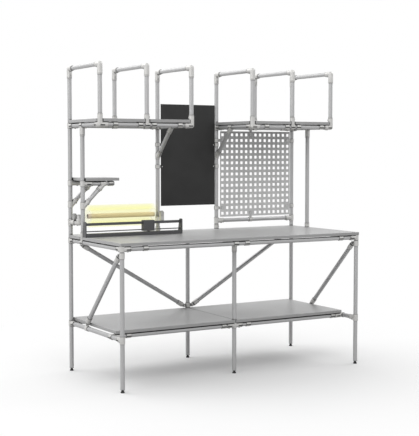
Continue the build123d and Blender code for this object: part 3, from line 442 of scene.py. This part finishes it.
tube = drawn_tube("tube_anodised", (0.46, 0.46, 0.463), roughness=0.42, metallic=0.4)
joint = cast_metal("joint_cast", (0.59, 0.585, 0.572), roughness=0.42, metallic=0.35)
steel = cast_metal("fastener_zinc", grey(0.52), roughness=0.4, metallic=0.5)
blade = cast_metal("blade_steel", grey(0.6), roughness=0.2, metallic=1.0)
board = melamine("board_melamine", grey(0.405), edge_colour=grey(0.358), roughness=0.36)
panel = painted("panel_paint", grey(0.585), roughness=0.45, wear_and_highlight_share=0.3)
dark_board = painted("back_board_paint", grey(0.012), roughness=0.6, wear_and_highlight_share=0.2)
cutter = painted("cutter_paint", (0.072, 0.072, 0.075), roughness=0.45, wear_and_highlight_share=0.35)
rubber = moulded("foot_rubber", grey(0.012), roughness=0.6)
plastic = moulded("black_plastic", grey(0.03), roughness=0.5)
# Near-black for the strips of painted shade along the clamps' lower edges
slot_shade = moulded("painted_slot_shade", grey(0.02), roughness=0.6)
card = wound_card("core_card", (1.0, 0.84, 0.66), turns_per_metre=12, slant=1.2, roughness=0.5)
film = wound_film(
    "film_yellow",
    (1.0, 0.99, 0.86),
    alpha=0.04,
    absorbed=(1.0, 0.99, 0.0),
    density=5.2,
    roughness=0.28,
)
cone = natural_plastic("cone_natural", (0.96, 0.95, 0.88), alpha=0.05)
axle = natural_plastic(
    "axle_natural",
    (0.96, 0.96, 0.92),
    alpha=0.04,
    cap_colour=(0.34, 0.34, 0.33),
    clear_from=-0.8745,
    clear_to=-0.2475,
)

tube_starts = (
    "post_", "leg_", "worktop_", "lower_side", "lower_long", "brace", "top_frame", "divider"
)
tube_nodes = [name for name in nodes if name.startswith(tube_starts)]
joint_nodes = [name for name in nodes if name.endswith("_joints")]
foot_nodes = [name for name in nodes if name.startswith("foot_") and name != "foot_inserts"]

dress(tube, *tube_nodes, "shelf_struts", "small_shelf_frame", "roll_arms", "panel_rail")
dress(joint, *joint_nodes, "clips")
dress(steel, "fasteners")
dress(board, "worktop", "lower_shelf_left", "lower_shelf_right")
dress(board, "top_shelf_left", "top_shelf_right", "small_shelf")
dress(panel, "perforated_panel")
dress(dark_board, "back_board")
dress(cutter, "cutter_base", "cutter_end_plates", "cutter_bars", "cutter_carriage")
dress(blade, "cutter_blade")
dress(rubber, *foot_nodes)
dress(plastic, "foot_inserts")
dress(card, "roll_core")
dress(film, "film_roll")
dress(cone, "roll_cones")
dress(axle, "roll_axle")


def painted_shade_strip(points, faces, centre, along, outward):
    """Adds one strip of painted shade: a thin dark curved strip on a sleeve, below its level line.
    """
    first = len(points)
    centre, along, outward = Vector(centre), Vector(along), Vector(outward)
    down = Vector((0, 0, -1))
    for step in range(shade_strip_steps + 1):
        angle = radians(shade_strip_angle + shade_strip_span * (step / shade_strip_steps - 0.5))
        way = outward * cos(angle) + down * sin(angle)
        for radius in (sleeve_radius + shade_strip_proud, sleeve_radius - shade_strip_proud):
            for end in (-shade_strip_half, shade_strip_half):
                points.append(centre + along * end + way * radius)
    for step in range(shade_strip_steps):
        low = first + 4 * step
        high = low + 4
        faces += [(low, low + 1, high + 1, high), (low + 2, high + 2, high + 3, low + 3)]
        faces += [(low, high, high + 2, low + 2), (low + 1, low + 3, high + 3, high + 1)]
    last = first + 4 * shade_strip_steps
    faces += [(first, first + 2, first + 3, first + 1), (last, last + 1, last + 3, last + 2)]


def make_painted_clamp_shade():
    """Strips of painted shade on the board clips and on the level sleeves, as one piece of the
    frame.
    """
    points, faces = [], []
    corner = post_x - socket_shade_strip_at
    corners = (-corner, corner)
    dividers = (divider_x - divider_side, divider_x, divider_x + divider_side)
    left_shelf = (-shelf_corner, *left_shelf_clips, *(-x for x in dividers), -shelf_end)
    right_shelf = (shelf_end, *right_shelf_clips, *dividers, shelf_corner)
    worktop_front = (*corners, *worktop_clips, 0)
    worktop_back = (*corners, *worktop_clips, 0, -inner_x, inner_x)
    lower = (*corners, *lower_clips, -socket_shade_strip_at, socket_shade_strip_at)
    top_back = (*corners, *left_shelf_clips, *right_shelf_clips, -divider_x, divider_x)
    small_shelf = (-corner, small_shelf_clip)
    long_rows = (
        (-back_y, worktop_rail_z, -1, worktop_front),
        (back_y, worktop_rail_z, 1, worktop_back),
        (lower_front_y, lower_rail_z, -1, lower),
        (back_y, lower_rail_z, 1, lower),
        (shelf_front_y, top_rail_z, -1, left_shelf),
        (shelf_front_y, top_rail_z, -1, right_shelf),
        (back_y, top_rail_z, 1, top_back),
        (back_y, panel_rail_z, 1, (inner_x + socket_shade_strip_at, corner)),
        (side_post_y, small_rail_z, -1, small_shelf),
        (back_y, small_rail_z, 1, small_shelf),
    )
    for y, z, side, places in long_rows:
        for x in places:
            painted_shade_strip(points, faces, (x, y, z), (1, 0, 0), (0, side, 0))
    back = back_y - socket_shade_strip_at
    front = shelf_front_y + socket_shade_strip_at
    cross_rows = (
        (post_x, worktop_rail_z, 1, (-back, side_post_y, back)),
        (post_x, lower_rail_z, 1, (-back, lower_front_y, back)),
        (post_x, top_rail_z, 1, (front, side_post_y, back)),
        (inner_x, top_rail_z, -1, (front, side_post_y, back)),
    )
    for x, z, outward, places in cross_rows:
        for side in (-1, 1):
            for y in places:
                painted_shade_strip(points, faces, (side * x, y, z), (0, 1, 0), (side * outward, 0, 0))
    mesh = bpy.data.meshes.new("painted_clamp_shade")
    mesh.from_pydata(points, [], faces)
    piece = bpy.data.objects.new("painted_clamp_shade", mesh)
    bpy.context.scene.collection.objects.link(piece)
    mesh.materials.append(slot_shade)
    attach(piece, "frame")


make_painted_clamp_shade()


def seen_straight(tree):
    """One where the studio is seen, also through clear pieces and off shiny ones, else zero."""
    rays = add_node(tree, "ShaderNodeLightPath")
    seen = math_node(tree, "MAXIMUM", rays.outputs["Is Camera Ray"], rays.outputs["Is Glossy Ray"])
    return math_node(tree, "MAXIMUM", seen, rays.outputs["Is Transmission Ray"])


def make_floor():
    """Pale floor that the object shades, and that turns into the backdrop far from it."""
    mesh = bpy.data.meshes.new("studio_floor")
    corners = [(-floor_half, -floor_half, 0), (floor_half, -floor_half, 0)]
    corners += [(floor_half, floor_half, 0), (-floor_half, floor_half, 0)]
    mesh.from_pydata(corners, [], [(0, 1, 2, 3)])
    floor = bpy.data.objects.new("studio_floor", mesh)
    bpy.context.scene.collection.objects.link(floor)
    material, tree, shader = shader_tree("studio_floor")
    shader.inputs["Roughness"].default_value = floor_roughness
    shader.inputs["Specular IOR Level"].default_value = floor_specular
    seen = seen_straight(tree)
    tone = remap(tree, seen, 0, 1, floor_bounce, floor_albedo)
    link(tree, tone, shader.inputs["Base Color"])
    lift = add_node(tree, "ShaderNodeEmission")
    link(tree, math_node(tree, "MULTIPLY", seen, floor_lift), lift.inputs["Strength"])
    near = add_node(tree, "ShaderNodeAddShader")
    link(tree, shader.outputs["BSDF"], near.inputs[0])
    link(tree, lift.outputs["Emission"], near.inputs[1])
    distance = add_node(tree, "ShaderNodeVectorMath", operation="LENGTH")
    link(tree, object_place(tree), distance.inputs[0])
    reach = amount_of(tree, distance.outputs["Value"], floor_fade_start, floor_fade_end)
    far = add_node(tree, "ShaderNodeEmission", Strength=dome_white)
    whole = add_node(tree, "ShaderNodeMixShader")
    link(tree, math_node(tree, "MULTIPLY", seen, reach), whole.inputs[0])
    link(tree, near.outputs["Shader"], whole.inputs[1])
    link(tree, far.outputs["Emission"], whole.inputs[2])
    link(tree, whole.outputs["Shader"], tree.nodes["Material Output"].inputs["Surface"])
    mesh.materials.append(material)


def make_dome():
    """White studio: full white where it is seen or mirrored, and banks of soft light."""
    world = bpy.data.worlds.new("studio")
    bpy.context.scene.world = world
    world.use_nodes = True
    tree = world.node_tree
    background = tree.nodes["Background"]
    background.inputs["Color"].default_value = (1, 1, 1, 1)
    place = add_node(tree, "ShaderNodeTexCoord").outputs["Generated"]
    light = dome_even
    for way, level in dome_banks:
        toward = add_node(tree, "ShaderNodeVectorMath", operation="DOT_PRODUCT")
        toward.inputs[1].default_value = way
        link(tree, place, toward.inputs[0])
        facing = math_node(tree, "MAXIMUM", toward.outputs["Value"], 0)
        light = math_node(tree, "ADD", light, math_node(tree, "MULTIPLY", facing, level))
    seen = seen_straight(tree)
    unseen = math_node(tree, "MULTIPLY", light, math_node(tree, "SUBTRACT", 1.0, seen))
    strength = math_node(tree, "ADD", unseen, math_node(tree, "MULTIPLY", seen, dome_white))
    link(tree, strength, background.inputs["Strength"])


def make_lamp(name, place, power):
    """Soft square lamp at a place, turned to the object."""
    data = bpy.data.lights.new(name, "AREA")
    data.energy = power
    data.size = lamp_width
    lamp = bpy.data.objects.new(name, data)
    lamp.location = place
    lamp.rotation_euler = (Vector(lamp_aim) - Vector(place)).to_track_quat("-Z", "Y").to_euler()
    bpy.context.scene.collection.objects.link(lamp)


def make_camera():
    """Camera at the photograph's place, with its level horizon."""
    data = bpy.data.cameras.new("camera")
    data.lens = camera_lens
    data.sensor_width = camera_film
    camera = bpy.data.objects.new("camera", data)
    camera.location = camera_place
    camera.rotation_euler = (radians(camera_tilt), 0, radians(camera_turn))
    bpy.context.scene.collection.objects.link(camera)
    bpy.context.scene.camera = camera


make_camera()
make_floor()
make_dome()
for name, (place, power) in lamps.items():
    make_lamp(name, place, power)
bpy.context.scene.view_settings.view_transform = "Standard"
